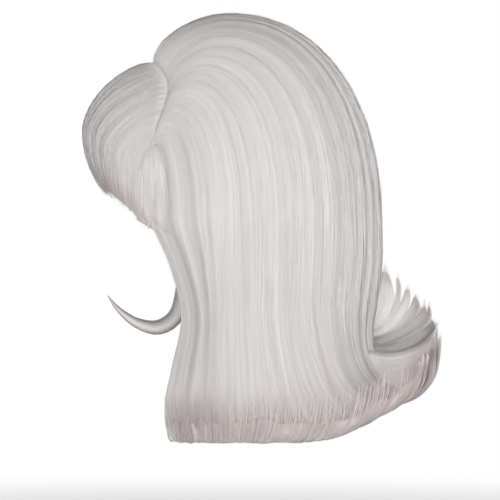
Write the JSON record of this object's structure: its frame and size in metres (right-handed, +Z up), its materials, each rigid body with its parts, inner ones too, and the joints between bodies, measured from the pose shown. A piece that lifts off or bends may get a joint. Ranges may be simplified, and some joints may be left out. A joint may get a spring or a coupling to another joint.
{
  "type": "beehive wig",
  "caption": "Beehive wig: a high rounded crown rises behind a puffed fringe, and the shoulder-length hair flips outward and up all round, on a stretch cap that takes the head.",
  "frame": {"origin": "the inside of the cap's top, where the wig sits on the head", "axes": "+Z up, the wearer faces -Y, +X is the wearer's left"},
  "size_m": [0.342, 0.3375, 0.402],
  "materials": {
    "hair": "fine straight white fibre with a soft silky sheen along the strands",
    "hair_ends": "fine white fibre curled into soft flipped locks with thin ends",
    "cap_net": "pale knitted stretch net with sewn rows, matt"
  },
  "bodies": {
    "root": {"wig_cap": "cap_net", "crown": "hair", "fringe": "hair", "left_side_hair": "hair", "back_hair": "hair", "right_side_hair": "hair", "left_flip": "hair_ends", "back_flip": "hair_ends", "right_flip": "hair_ends"}
  },
  "joints": []
}
